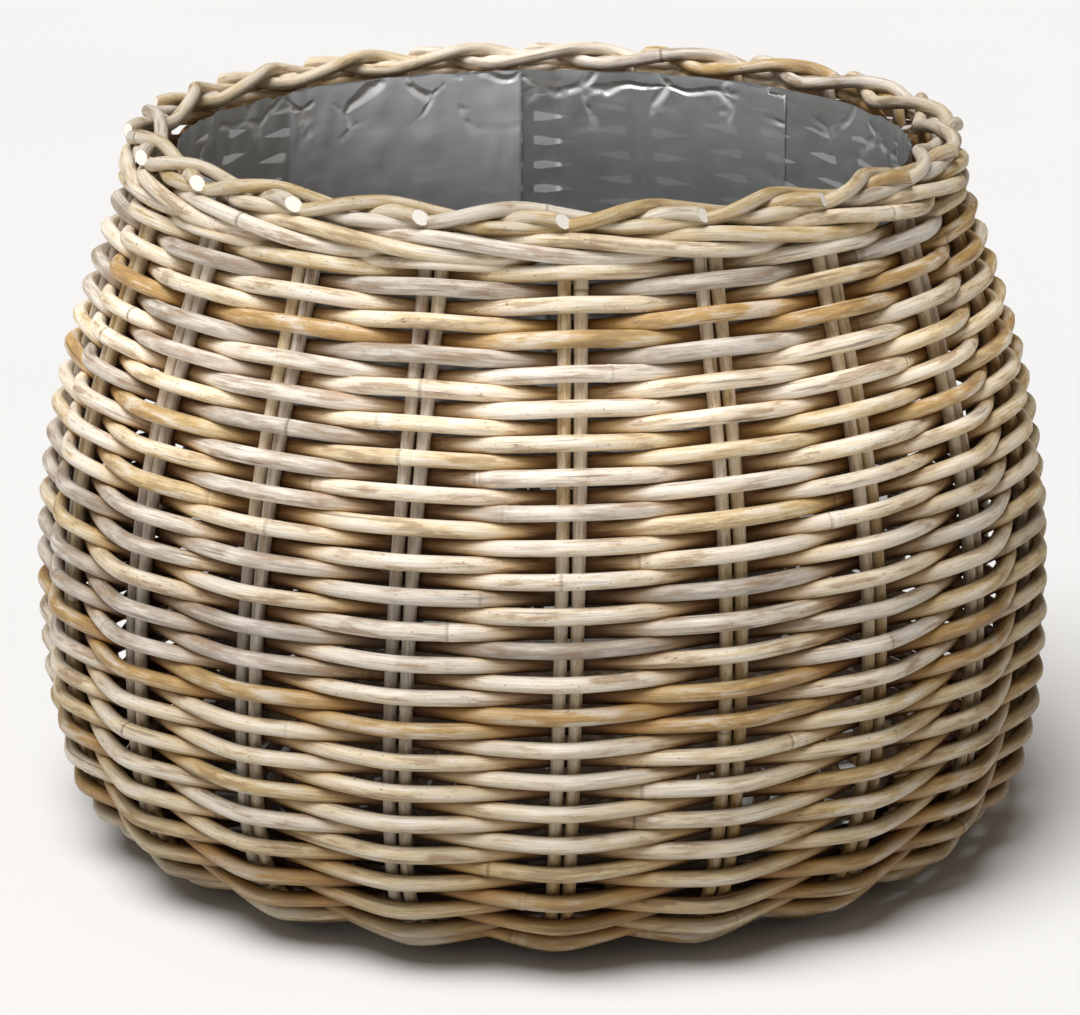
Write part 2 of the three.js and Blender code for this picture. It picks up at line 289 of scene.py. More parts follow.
@dataclass(frozen=True)
class FilmFinish:
    """Clear plastic film: glossy, milky where it is doubled, creased near its top and clearer below, with
    painted glints and sheen on the creases and painted shade towards the bottom and on the right.
    """

    # Patterns on the flat film: fineness, detail
    WRINKLE = ((16.0, 24.0, 1.0), 3.0)
    SHEEN = ((6.0, 30.0, 1.0), 3.0)
    TEAR = ((48.0, 48.0, 1.0), 2.0)
    PATCH = ((11.0, 11.0, 1.0), 1.0)
    CRACK_SCALE = (27.0, 40.0, 1.0)
    BEND_SCALE = 26.0
    BEND = (0.04, 0.03, 0.0)

    # Spans of one value, and what they become in another. Around and down are metres along the flat film,
    # and a layer is 1 on a pleat's front, -1 on its back and 0 elsewhere
    TEAR_TO_CREASE = (0.4, 0.58)
    PATCH_TO_CREASE = (0.4, 0.5)
    LAYER_TO_CREASE = (0.0, 1.0, 0.4, 1.0)
    DOWN_TO_CREASE = (0.036, 0.006)
    CRACK_TO_RIDGE = (0.12, 0.0)
    # Painted glints along the cracks and painted sheen on the creases
    CRACK_TO_GLINT = (0.12, 0.04)
    NOISE_TO_SHEEN = (0.5, 0.75, 0.0, 0.4)
    DOWN_TO_ALPHA = (0.18, 0.09, 0.35, 1.0)
    LAYER_TO_ALPHA = (-1.0, 0.0, 0.2, 0.86)
    AROUND_TO_CLEARER = (0.8, 1.1, 0.24, 0.0)
    # Painted shade: darker towards the bottom and on the right
    DOWN_TO_LIGHT = (0.075, 0.004, 0.3, 1.0)
    AROUND_TO_LIGHT = (0.8, 1.1, 0.46, 1.0)
    # Painted shade: dark brown low in the bag
    DOWN_TO_DEEP_SHADE = (0.08, 0.13)
    DOWN_TO_COAT = (0.13, 0.07, 0.12, 0.8)

    # Opacity added where glints are painted
    GLINT_ALPHA = 0.4
    EDGE_ALPHA = 0.3
    WRINKLE_RELIEF = 0.5
    BUMP = (0.6, 0.0035)

    slot: str = "clear_film"
    single: Triple = (0.58, 0.605, 0.62)
    doubled: Triple = (0.90, 0.94, 1.0)
    # Colour of the painted glints and sheen
    glint_and_sheen_colour: Triple = (0.98, 0.985, 0.99)
    # Colour of the painted shade
    painted_shade_colour: Triple = (0.155, 0.165, 0.158)
    # Colour of the painted shade low in the bag
    deep_shade: Triple = (0.10, 0.078, 0.058)
    roughness: float = 0.36
    ior: float = 1.3
    through: float = 0.05
    coat_roughness: float = 0.16
    coat_ior: float = 2.0

    def material(self) -> bpy.types.Material:
        """Builds the node material.

        Returns:
            The material, which reads the film's own attributes film and doubled.
        """
        bench = NodeBench(self.slot)
        film = bench.attribute("film").outputs["Vector"]
        around, down, edge = bench.add("ShaderNodeSeparateXYZ", {0: film}).outputs
        doubled = bench.attribute("doubled").outputs["Fac"]
        flat = bench.add("ShaderNodeCombineXYZ", {0: around, 1: down}).outputs[0]
        warp = bench.add("ShaderNodeTexNoise", {"Vector": flat, "Scale": self.BEND_SCALE, "Detail": 1.0})
        bend = {0: warp.outputs["Color"], 1: self.BEND, 2: flat}
        bent = bench.add("ShaderNodeVectorMath", bend, operation="MULTIPLY_ADD").outputs[0]
        crack = bench.add(
            "ShaderNodeTexVoronoi", {"Vector": bench.stretch(bent, self.CRACK_SCALE), "Scale": 1.0},
            feature="DISTANCE_TO_EDGE", voronoi_dimensions="2D",
        ).outputs["Distance"]
        torn = bench.span(bench.noise(flat, *self.TEAR), *self.TEAR_TO_CREASE)
        patch = bench.span(bench.noise(flat, *self.PATCH), *self.PATCH_TO_CREASE)
        patch = bench.times(patch, bench.span(doubled, *self.LAYER_TO_CREASE))
        near_top = bench.times(bench.span(down, *self.DOWN_TO_CREASE), patch)
        near_top = bench.times(near_top, torn)
        ridge = bench.times(bench.span(crack, *self.CRACK_TO_RIDGE), near_top)
        # Painted glints: white lines along the cracks near the top, with painted sheen over the creases
        painted_glint = bench.times(bench.span(crack, *self.CRACK_TO_GLINT), near_top)
        sheen = bench.span(bench.noise(flat, *self.SHEEN), *self.NOISE_TO_SHEEN)
        sheen = bench.times(sheen, near_top)

        alpha = bench.span(doubled, *self.LAYER_TO_ALPHA)
        alpha = bench.times(bench.span(down, *self.DOWN_TO_ALPHA), alpha)
        clearer = bench.span(around, *self.AROUND_TO_CLEARER)
        clearer = bench.times(bench.span(doubled, 0.0, 1.0), clearer)
        alpha = bench.times(alpha, bench.math("SUBTRACT", 1.0, clearer))
        alpha = bench.math("ADD", alpha, bench.times(painted_glint, self.GLINT_ALPHA))
        alpha = bench.math("ADD", alpha, bench.times(edge, self.EDGE_ALPHA), clamp=True)

        # Painted shade: the tint darkens towards the bottom and on the right.
        depth = bench.span(around, *self.AROUND_TO_LIGHT)
        depth = bench.times(bench.span(down, *self.DOWN_TO_LIGHT), depth)
        depth = bench.math("SUBTRACT", 1.0, depth)
        tint = bench.mix(depth, bench.mix(doubled, self.single, self.doubled), self.painted_shade_colour)
        # Painted shade: dark brown low in the bag.
        tint = bench.mix(bench.span(down, *self.DOWN_TO_DEEP_SHADE), tint, self.deep_shade)
        # The painted glints and sheen lighten the tint.
        tint = bench.mix(bench.math("MAXIMUM", painted_glint, sheen), tint, self.glint_and_sheen_colour)

        wrinkle = bench.times(bench.noise(flat, *self.WRINKLE), self.WRINKLE_RELIEF)
        bump = bench.bump(bench.math("ADD", wrinkle, ridge), *self.BUMP)
        coat = bench.span(down, *self.DOWN_TO_COAT)
        skin = bench.add(
            "ShaderNodeBsdfPrincipled",
            {"Base Color": tint, "Alpha": alpha, "Normal": bump, "Coat Normal": bump, "Coat Weight": coat,
             "Roughness": self.roughness, "IOR": self.ior, "Transmission Weight": self.through,
             "Coat Roughness": self.coat_roughness, "Coat IOR": self.coat_ior},
        )
        return bench.output(skin.outputs[0])


def lengths_along(points: list[Vector]) -> list[float]:
    """Lengths along a line of points, from 0 at its first one."""
    return list(accumulate(((b - a).length for a, b in zip(points, points[1:])), initial=0.0))


@dataclass(frozen=True)
class SideForm:
    """The basket's shape: the circle and rise of its stakes, from the foot to the mouth, in metres."""

    LINE_POINTS = 160

    # Where the cane is worn and where shade is painted in among the rods: lengths in metres, and wear with
    # painted shade from 0 to 1
    # Painted shade on the base: darkest on its top inside the basket
    BASE_RISE = 0.004
    BASE_SPREAD = 0.02
    BASE_TOP_WEAR_AND_SHADE = 0.12
    BASE_BOTTOM_WEAR_AND_SHADE = 0.45
    # How far out among the rods a spot lies, for the painted shade
    WEAR_AND_SHADE_DEPTH = 0.006
    WEAR_AND_SHADE_WIDTH = 0.0155
    # Painted light: the rows high on the side are lifted paler
    SHOULDER_FROM = 0.19
    SHOULDER_SPAN = 0.08
    SHOULDER_LIGHT_GAIN = 0.0026
    # Darker towards the foot
    FOOT_SHARE = 0.4
    FOOT_SPAN = 0.07
    # Painted shade on the rods' inside faces
    INSIDE_FROM = 0.003
    INSIDE_SLOPE = 60
    INSIDE_MOST = 0.2
    # The border rods take almost no painted shade
    BORDER_DROP = 0.01
    BORDER_SPAN = 0.012
    BORDER_MOST = 0.95

    height: float = 0.350
    belly_diameter: float = 0.500
    belly_height: float = 0.119
    foot_radius: float = 0.168
    mouth_radius: float = 0.190
    foot_flare: float = 0.052
    lower_bulge: float = 0.092
    upper_bulge: float = 0.115
    mouth_lean: float = 0.007
    mouth_stretch: float = 0.048
    stake_pairs: int = 20
    stake_radius: float = 0.0029
    pair_pitch: float = 0.0073
    weaver_radius: float = 0.00335
    row_step: float = 0.0072
    wale_step: float = 0.0077
    clearance: float = 0.0003
    flat_cut: float = 0.001
    border_rise: float = 0.008
    first_stake_deg: float = -88.7
    twist_deg: float = 2.4

    @property
    def reach(self) -> float:
        """Distance between a stake's middle and that of a rod in front of it."""
        return self.stake_radius + self.weaver_radius + self.clearance

    def swing(self, radius: float) -> float:
        """How far the frame's rods swing out at a pair on a circle of this radius."""
        spacing = TURN * radius / self.stake_pairs
        return self.reach / (1 - (self.pair_pitch + 2 * self.stake_radius) / spacing)

    @property
    def foot_z(self) -> float:
        """Height of the base's middle."""
        return self.swing(self.foot_radius) + self.weaver_radius - self.flat_cut

    @property
    def mouth_z(self) -> float:
        """Height at which the stakes turn over into the border."""
        return self.height - self.stake_radius - self.border_rise

    @cached_property
    def _line(self) -> tuple[list[float], list[Vector]]:
        """The stakes' centreline.

        Returns:
            Lengths along it, and the points there as radius and height.
        """
        outside = self.belly_diameter / 2
        belly = outside - self.swing(outside) - self.weaver_radius
        foot, mouth = self.foot_z, self.mouth_z
        knots = [
            ((self.foot_radius, foot), (self.foot_radius + self.foot_flare, foot),
             (belly, self.belly_height - self.lower_bulge), (belly, self.belly_height)),
            ((belly, self.belly_height), (belly, self.belly_height + self.upper_bulge),
             (self.mouth_radius + self.mouth_lean, mouth - self.mouth_stretch), (self.mouth_radius, mouth)),
        ]
        points: list[Vector] = []
        for knot in knots:
            stretch = interpolate_bezier(*(Vector((r, z, 0.0)) for r, z in knot), self.LINE_POINTS)
            points += [Vector(p) for p in stretch[1 if points else 0:]]
        return lengths_along(points), points

    @property
    def length(self) -> float:
        """Length of a stake between the foot and the mouth."""
        return self._line[0][-1]

    def middle(self, along: float) -> tuple[Vector, Vector]:
        """The stakes' middle at a length up the side.

        Args:
            along: Length up the side from the foot.

        Returns:
            The point and the direction there, both as radius and height.
        """
        lengths, points = self._line
        i = min(max(bisect_right(lengths, along) - 1, 0), len(points) - 2)
        step = points[i + 1] - points[i]
        share = (along - lengths[i]) / (lengths[i + 1] - lengths[i])
        return points[i] + step * share, step.normalized()

    @property
    def seat(self) -> float:
        """Length below the mouth at which the rows under the border have room."""
        slope = -self.middle(self.length)[1].x
        return self.reach + slope * self.swing(self.mouth_radius)

    def angle(self, pairs: float, share: float) -> float:
        """Angle of a place counted in stake pairs, at a share of the way up the side."""
        return math.radians(self.first_stake_deg + 360 * pairs / self.stake_pairs + self.twist_deg * share)

    @staticmethod
    def round_point(radius: float, z: float, angle: float, shift: float = 0.0) -> Vector:
        """A point from its radius, height and angle, moved sideways by shift."""
        c, s = math.cos(angle), math.sin(angle)
        return Vector((radius * c - shift * s, radius * s + shift * c, z))

    def point(self, along: float, pairs: float, out: float, shift: float = 0.0) -> Vector:
        """A point on the side.

        Args:
            along: Length up the side from the foot.
            pairs: Place round the basket, counted in stake pairs.
            out: Distance outside the stakes' middle.
            shift: Distance sideways round the basket.

        Returns:
            The point.
        """
        spot, way = self.middle(along)
        angle = self.angle(pairs, along / self.length)
        return self.round_point(spot.x + way.y * out, spot.y - way.x * out, angle, shift)

    @cached_property
    def _radius_by_height(self) -> list[float]:
        """The stakes' circle at every height.

        Returns:
            Its radius for each millimetre of height.
        """
        _, points = self._line
        heights = [p.y for p in points]
        radii = []
        for mm in range(int(self.height * 1000) + 2):
            i = min(max(bisect_right(heights, mm / 1000) - 1, 0), len(points) - 1)
            radii.append(points[i].x)
        return radii

    def wear_and_shade(self, point: Vector) -> float:
        """How worn a point is, with the shade painted in among the rods.

        Args:
            point: The point.

        Returns:
            From 0 among the rods, where the most shade is painted, to 1 on their outside and on the border.
            The rows high on the side are painted lighter, the inside faces and the base darker, and the rods
            are darker towards the foot.
        """
        radius = math.hypot(point.x, point.y)
        # Painted shade on the base, darkest on its top.
        if point.z < self.foot_z + self.BASE_RISE and radius < self.foot_radius + self.BASE_SPREAD:
            return self.BASE_TOP_WEAR_AND_SHADE if point.z > self.foot_z else self.BASE_BOTTOM_WEAR_AND_SHADE
        at = min(max(int(point.z * 1000), 0), len(self._radius_by_height) - 1)
        out = radius - self._radius_by_height[at]
        # Painted light: the rows high on the side are lifted paler.
        shoulder = min(max((point.z - self.SHOULDER_FROM) / self.SHOULDER_SPAN, 0.0), 1.0)
        # Darker towards the foot.
        foot = self.FOOT_SHARE + (1 - self.FOOT_SHARE) * min(point.z / self.FOOT_SPAN, 1.0)
        outside = (out + self.WEAR_AND_SHADE_DEPTH + self.SHOULDER_LIGHT_GAIN * shoulder) / self.WEAR_AND_SHADE_WIDTH * foot
        # Painted shade on the rods' inside faces.
        inside = min(self.INSIDE_SLOPE * (-out - self.INSIDE_FROM), self.INSIDE_MOST)
        # The border takes almost no painted shade.
        border = min((point.z - self.mouth_z + self.BORDER_DROP) / self.BORDER_SPAN, self.BORDER_MOST)
        return min(max(outside, inside, border, 0.0), 1.0)


def smooth_path(points: list[Vector], step: float = 0.0025) -> list[Vector]:
    """Runs a smooth line through points.

    Args:
        points: Points in order.
        step: Length of the line's pieces.

    Returns:
        The line's points.
    """
    ends = [points[0] * 2 - points[1], *points, points[-1] * 2 - points[-2]]
    line = [points[0]]
    for a, b, c, d in zip(ends, ends[1:], ends[2:], ends[3:]):
        count = max(2, round((c - b).length / step) + 1)
        line += [Vector(p) for p in interpolate_bezier(b, b + (c - a) / 6, c - (d - b) / 6, c, count)[1:]]
    return line


@dataclass
class Rod:
    """One length of cane."""

    FAR_FROM = 0.58
    FAR_SPAN = 0.1
    TIP_GIRTH = 0.6
    KNOT_FIRST = (0.03, 0.25)
    KNOT_SPACING = (0.2, 0.5)
    KNOT_DARK = (0.15, 0.8)
    KNOT_ROOM = 0.014
    # Rings at a knot: distance from it, swelling, share of the dark ring and share of the pale skin
    KNOT_RINGS = (
        (-0.004, 1.0, 0.0, 0.0), (-0.0012, 1.04, 0.0, 0.0), (-0.0004, 1.06, 1.0, 0.0),
        (0.0004, 1.06, 1.0, 0.0), (0.0012, 1.05, 0.0, 1.0), (0.006, 1.02, 0.0, 0.8), (0.013, 1.0, 0.0, 0.0),
    )

    path: list[Vector]
    radius: float
    tone: CaneTone
    seed: int
    tilt: float = 0.25
    far_tone: CaneTone | None = None
    tip: float = 0.0
    far_girth: float = 1.0
    facing: Vector | None = None

    def far_part(self, share: float) -> float:
        """How far a share of the rod's length is into its last part, which may differ from the rest."""
        return min(max((share - self.FAR_FROM) / self.FAR_SPAN, 0.0), 1.0)

    def tone_at(self, share: float) -> tuple[float, float]:
        """Warmth and lightness at a share of the rod's length."""
        far = self.far_tone or self.tone
        return tuple(a + (b - a) * self.far_part(share) for a, b in zip(self.tone.value, far.value))

    def girth(self, place: float, length: float) -> float:
        """Thickness at a place along the rod.

        Args:
            place: Length along the rod.
            length: The rod's whole length.

        Returns:
            The thickness as a share of the usual one.
        """
        thick = 1 + (self.far_girth - 1) * self.far_part(place / length)
        left = length - place
        if left >= self.tip:
            return thick
        return thick * (self.TIP_GIRTH + (1 - self.TIP_GIRTH) * left / self.tip)

    def stations(self, step: float) -> list[Triple]:
        """Places of the rings along the rod.

        Args:
            step: Usual length between rings.

        Returns:
            Length, swelling and darkness of each ring, close together at the growth knots. A darkness under 0
            stands for pale skin.
        """
        rng = random.Random(self.seed)
        length = lengths_along(self.path)[-1]
        count = max(2, round(length / step))
        marks = {length * i / count: (1.0, 0.0) for i in range(count + 1)}
        knot = rng.uniform(*self.KNOT_FIRST)
        while knot < length - self.KNOT_ROOM:
            dark = rng.uniform(*self.KNOT_DARK)
            pale = rng.uniform(0.0, 1.0)
            for gap, swell, dark_share, pale_share in self.KNOT_RINGS:
                marks[knot + gap] = (swell, dark_share * dark - pale_share * pale)
            knot += rng.uniform(*self.KNOT_SPACING)
        return [(s, *marks[s]) for s in sorted(marks)]

    def points(self, places: list[float]) -> list[Vector]:
        """Finds points of the path.

        Args:
            places: Lengths along the path, in order.

        Returns:
            The point at each length.
        """
        found, total, i = [], 0.0, 0
        step = (self.path[1] - self.path[0]).length
        for place in places:
            while place > total + step and i < len(self.path) - 2:
                total += step
                i += 1
                step = (self.path[i + 1] - self.path[i]).length
            found.append(self.path[i].lerp(self.path[i + 1], (place - total) / step))
        return found


@dataclass(frozen=True)
class PaintedLightAndShade:
    """Paints light and shade into the tone of the cane over the basket: reach in metres, warmth and light of
    each effect.
    """

    # Painted shade: darker and warmer towards the bottom
    low_shade: Triple = (0.15, 0.62, -0.3)
    # Painted light: paler round a band high on the side
    upper_light: Triple = (0.095, 0.0, 0.46)
    # Painted shade: darker and warmer on the right side
    right_shade: Triple = (0.25, 0.5, -0.22)
    # Painted light: paler on the back of the rim
    back: Triple = (0.2, 0.0, 0.4)
    # Painted shade: darker and warmer on the rods' undersides
    underside_shade_warmth: float = 0.2
    underside_shade: float = 0.42
    underside_shade_power: float = 1.5
    upper_light_height: float = 0.265
    back_light_height: float = 0.325

    def shift(self, spot: Vector, downward: float, warmth: float, light: float) -> tuple[float, float]:
        """Paints light and shade into a rod's tone at one spot.

        Args:
            spot: The spot.
            downward: How far the rod's skin faces down there, from -1 to 1.
            warmth: The rod's own warmth.
            light: The rod's own lightness.

        Returns:
            The warmth and lightness there, with the painted light and shade.
        """
        painted_effects = (
            (max(0.0, 1 - spot.z / self.low_shade[0]), self.low_shade),
            (max(0.0, 1 - abs(spot.z - self.upper_light_height) / self.upper_light[0]), self.upper_light),
            (max(0.0, spot.x / self.right_shade[0]) ** 2, self.right_shade),
            (max(0.0, spot.y / self.back[0]) if spot.z > self.back_light_height else 0.0, self.back),
        )
        # Painted shade on the rods' undersides.
        under = max(0.0, downward) ** self.underside_shade_power
        warmth += self.underside_shade_warmth * under + sum(share * warm for share, (_, warm, _) in painted_effects)
        shade = 1 + sum(share * bright for share, (_, _, bright) in painted_effects)
        return warmth, light * shade * (1 - self.underside_shade * under)


class RodMesh:
    """Collects the rods of one piece in one mesh."""

    SIDES = 12
    STEP = 0.006
    SLANT = 0.85
    END_SEED = 77
    UNEVEN = 0.05
    UNEVEN_SCALE = 11
    UNEVEN_SEED = 1.7
    CAP_INSET = 0.16
    CAP_RISE = 0.06
    WELD = 1e-6
    # Where a rod's grain starts in the patterns: step by its seed, and shifts across by its remainders
    GRAIN_STEP = 3.17
    GRAIN_SHIFTS = ((13, 0.21), (29, 0.13))
    # Light and shade painted into the cane's tone
    PAINTED_LIGHT_AND_SHADE = PaintedLightAndShade()

    def __init__(self, wear_and_shade: Callable[[Vector], float], floor: bool) -> None:
        """Starts an empty piece.

        Args:
            wear_and_shade: Gives how worn a point is, with the shade painted in among the rods.
            floor: Whether the rods are worn flat where they meet the floor.
        """
        self.wear_and_shade = wear_and_shade
        self.floor = floor
        self.bm = bmesh.new()
        layers = self.bm.verts.layers
        self.grain = layers.float_vector.new("grain")
        self.cane = layers.float_vector.new("cane")
        # Wear, with painted shade among the rods
        self.worn = layers.float.new("wear_and_shade")
        self.cut = layers.float.new("cut")

    @staticmethod
    def frames(points: list[Vector]) -> list[tuple[Vector, Vector, Vector]]:
        """Directions along and across a line, without twist.

        Args:
            points: The line's points.

        Returns:
            For each point the direction along the line and two across it.
        """
        ways = [(b - a).normalized() for a, b in zip(points, points[1:])]
        ways = [ways[0], *((a + b).normalized() for a, b in zip(ways, ways[1:])), ways[-1]]
        across = ways[0].orthogonal().normalized()
        found = []
        for way in ways:
            across = (across - way * across.dot(way)).normalized()
            found.append((way, across, way.cross(across)))
        return found

    def add(self, rod: Rod) -> None:
        """Rolls a grid into a tube along the rod's path, and closes and trims its ends.

        Args:
            rod: The rod to add.
        """
        stations = rod.stations(self.STEP)
        points = rod.points([s for s, _, _ in stations])
        frames = self.frames(points)
        last = len(stations) - 1
        rng = random.Random(rod.seed + self.END_SEED)
        leans = {}
        for i in (0, last):
            _, right, up = frames[i]
            turned = rng.uniform(0, TURN)
            leans[i] = (right * math.cos(turned) + up * math.sin(turned)) * rng.uniform(-rod.tilt, rod.tilt)
        if rod.facing:
            way = frames[last][0]
            leans[last] = (rod.facing - way * rod.facing.dot(way)).normalized() * -self.SLANT
        shifts = [rod.seed % count * shift for count, shift in self.GRAIN_SHIFTS]
        offset = Vector((rod.seed * self.GRAIN_STEP, *shifts))
        grid = bmesh.ops.create_grid(self.bm, x_segments=last, y_segments=self.SIDES, size=0.5)["verts"]
        seam, ends = [], set()
        for vert in grid:
            i = round((vert.co.x + 0.5) * last)
            j = round((vert.co.y + 0.5) * self.SIDES)
            place, swell, dark = stations[i]
            way, right, up = frames[i]
            uneven = noise.noise(Vector((place * self.UNEVEN_SCALE, rod.seed * self.UNEVEN_SEED, 0.0)))
            thick = 1 + self.UNEVEN * uneven
            radius = rod.radius * swell * thick * rod.girth(place, stations[last][0])
            turn = TURN * (j % self.SIDES) / self.SIDES
            c, s = math.cos(turn) * radius, math.sin(turn) * radius
            across = right * c + up * s
            vert.co = points[i] + across
            if i in leans:
                vert.co += way * leans[i].dot(across)
                ends.add(vert)
            if self.floor and vert.co.z < 0:
                vert.co.z = 0.0
            vert[self.grain] = Vector((place, c, s)) + offset
            warmth, light = rod.tone_at(place / stations[last][0])
            # The tone takes the painted light and shade.
            tone = self.PAINTED_LIGHT_AND_SHADE.shift(vert.co, -across.z / radius, warmth, light)
            vert[self.cane] = Vector((*tone, dark))
            # Wear, with painted shade among the rods, on the inside and on the base.
            vert[self.worn] = self.wear_and_shade(vert.co)
            if j in (0, self.SIDES):
                seam.append(vert)
        bmesh.ops.remove_doubles(self.bm, verts=seam, dist=self.WELD)
        rims = [edge for vert in ends if vert.is_valid for edge in vert.link_edges if edge.is_boundary]
        rims = list(set(rims))
        caps = bmesh.ops.holes_fill(self.bm, edges=rims, sides=0)["faces"]
        for edge in rims:
            edge.smooth = False
        inset, rise = rod.radius * self.CAP_INSET, rod.radius * self.CAP_RISE
        bmesh.ops.inset_individual(self.bm, faces=caps, thickness=inset, depth=rise)
        for cap in caps:
            for vert in cap.verts:
                vert[self.cut] = 1.0


def draw_tone(rng: random.Random, tones: dict[CaneTone, float]) -> CaneTone:
    """Draws a tone from tones with their weights."""
    return rng.choices(list(tones), list(tones.values()))[0]


def place_piece(
    name: str, bm: bmesh.types.BMesh, node: str, material: bpy.types.Material
) -> bpy.types.Object:
    """Turns a finished bmesh into a piece that stands for a node of the frame.

    Args:
        name: Name of the piece.
        bm: The finished shape, which is freed.
        node: Node of the frame that the piece stands for.
        material: The piece's material.

    Returns:
        The piece's object.
    """
    bmesh.ops.recalc_face_normals(bm, faces=bm.faces)
    for face in bm.faces:
        face.smooth = True
    mesh = bpy.data.meshes.new(name)
    bm.to_mesh(mesh)
    bm.free()
    mesh.materials.append(material)
    piece = bpy.data.objects.new(name, mesh)
    bpy.context.scene.collection.objects.link(piece)
    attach(piece, BODY)
    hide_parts(node)
    LOG.info("%s stands for %s with %d faces", name, node, len(mesh.polygons))
    return piece


@dataclass
class CanePart:
    """A part of the basket that is made of cane."""

    form: SideForm
    finish: CaneFinish

    @cached_property
    def material(self) -> bpy.types.Material:
        """The material of all the part's pieces."""
        return self.finish.material()

    def place(self, node: str, kind: str, rods: Iterable[Rod], floor: bool = False) -> None:
        """Builds and dresses one piece.

        Args:
            node: Node of the frame that the piece stands for.
            kind: What the piece is, which ends its name.
            rods: The piece's rods.
            floor: Whether the rods are worn flat where they meet the floor.
        """
        mesh = RodMesh(self.form.wear_and_shade, floor)
        for rod in rods:
            mesh.add(rod)
        place_piece(f"{node}_{kind}", mesh.bm, node, self.material)


@dataclass
class Stakes(CanePart):
    """Paired uprights: a stake that turns over into the border, and a bye-stake beside it.

    The route over the border gives the pairs passed, and shares of the way out and of the rise.
    """

    UPRIGHT_TONES = {CaneTone.ASH: 4, CaneTone.BLEACHED: 3, CaneTone.CREAM: 2, CaneTone.STRAW: 3}
    BORDER_TONES = {CaneTone.BLEACHED: 3, CaneTone.CREAM: 4, CaneTone.STRAW: 4, CaneTone.OCHRE: 1}

    seed: int = 5
    upright_points: int = 30
    border_girth: float = 1.1
    butt: float = 0.013
    radius: float = 0.00305
    bye_stake_drop: float = 0.009
    cut_lift: float = 0.16
    # The stakes take less of the painted shade among the rods
    finish: CaneFinish = CaneFinish("stake_cane", 0.84, 0.5, 0.26)
    route: tuple[Triple, ...] = (
        (0.25, 0.4, 0.05), (0.45, 0.5, 0.1), (0.7, 0.46, 0.1), (0.92, 0.55, 0.26), (1.08, 0.72, 0.56),
        (1.25, 0.52, 0.88), (1.45, -0.2, 1.0), (1.62, -0.66, 0.88), (1.95, -0.88, 0.4), (2.2, -0.74, 0.1),
        (2.42, -0.2, 0.2), (2.56, 0.2, 0.62), (2.72, 0.62, 0.78), (2.86, 1.04, 0.66),
    )

    def upright(self, pair: int, shift: float, top: float) -> list[Vector]:
        """Points of one upright.

        Args:
            pair: Number of the pair.
            shift: Distance sideways from the pair's middle.
            top: Length up the side at which the upright ends.

        Returns:
            Points from the base to the top.
        """
        form = self.form
        butt = form.round_point(form.foot_radius - self.butt, form.foot_z, form.angle(pair, 0), shift)
        count = self.upright_points
        return [butt, *(form.point(top * i / count, pair, 0.0, shift) for i in range(count + 1))]

    def border(self, pair: int, shift: float) -> list[Vector]:
        """Points of a stake's way over the border, past the next three pairs.

        Args:
            pair: Number of the pair.
            shift: Distance sideways from the pair's middle.

        Returns:
            Points from the mouth to the cut end.
        """
        form = self.form
        swing = form.swing(form.mouth_radius)
        return [
            form.round_point(form.mouth_radius + out * swing, form.mouth_z + up * form.border_rise,
                             form.angle(pair + pairs, 1), shift)
            for pairs, out, up in self.route
        ]

    def build(self) -> None:
        """Builds and dresses every stake and bye-stake."""
        form = self.form
        rng = random.Random(self.seed)
        side = form.pair_pitch / 2
        for pair in range(form.stake_pairs):
            for kind, shift in (("stake", side), ("bye_stake", -side)):
                facing = None
                drop = self.bye_stake_drop if kind == "bye_stake" else 0.0
                points = self.upright(pair, shift, form.length - drop)
                if kind == "stake":
                    points += self.border(pair, shift)
                    facing = Vector((points[-1].x, points[-1].y, self.cut_lift)).normalized()
                tone = draw_tone(rng, self.UPRIGHT_TONES)
                far = draw_tone(rng, self.BORDER_TONES)
                rod = Rod(smooth_path(points), self.radius, tone, rng.randrange(SEEDS), far_tone=far,
                          far_girth=self.border_girth if facing else 1.0, facing=facing)
                self.place(f"{kind}_{pair + 1:02d}", "rod", [rod])


@dataclass
class Wales(CanePart):
    """Three-rod waling at the foot and under the border.

    The route gives a rod's side of the stakes and its rise in steps, for each half of a pair's spacing.
    """

    TOP_TONES = (CaneTone.BLEACHED, CaneTone.STRAW, CaneTone.CREAM)
    FOOT_TONES = (CaneTone.STRAW, CaneTone.OCHRE, CaneTone.CREAM)

    top_seed: int = 314
    foot_seed: int = 315
    seed_step: int = 17
    radius: float = 0.0035
    swing: float = 0.0076
    top_lift: float = 0.002
    seam: int = 10
    finish: CaneFinish = CaneFinish("wale_cane", 0.96, 0.5)
    route: tuple[tuple[float, float], ...] = ((1, 1.1), (1, 0.6), (1, 0.1), (0, 0), (-1, 0.5), (0, 1))

    def path(self, rod: int, low: float) -> list[Vector]:
        """Line of one rod, once round from the seam at the back, its ends tucked inside.

        Args:
            rod: Number of the rod.
            low: Length up the side at which the waling starts.

        Returns:
            The line's points.
        """
        form = self.form
        steps = 2 * form.stake_pairs
        points = []
        for i in range(-1, steps + 2):
            out, up = self.route[(min(max(i, 0), steps) + 2 * rod) % len(self.route)]
            if i < 0 or i > steps:
                out = -1
            points.append(form.point(low + up * form.wale_step, self.seam + i / 2, out * self.swing))
        return smooth_path(points)

    def build(self) -> None:
        """Builds and dresses the rods of both wales."""
        form = self.form
        top = form.length - form.seat - form.wale_step + self.top_lift
        wales = (("foot", 0.0, self.FOOT_TONES, self.foot_seed), ("top", top, self.TOP_TONES, self.top_seed))
        for place, low, tones, seed in wales:
            for i, tone in enumerate(tones):
                rod = Rod(self.path(i, low), self.radius, tone, seed + self.seed_step * i)
                self.place(f"{place}_wale_rod_{i + 1}", "cane", [rod], floor=place == "foot")


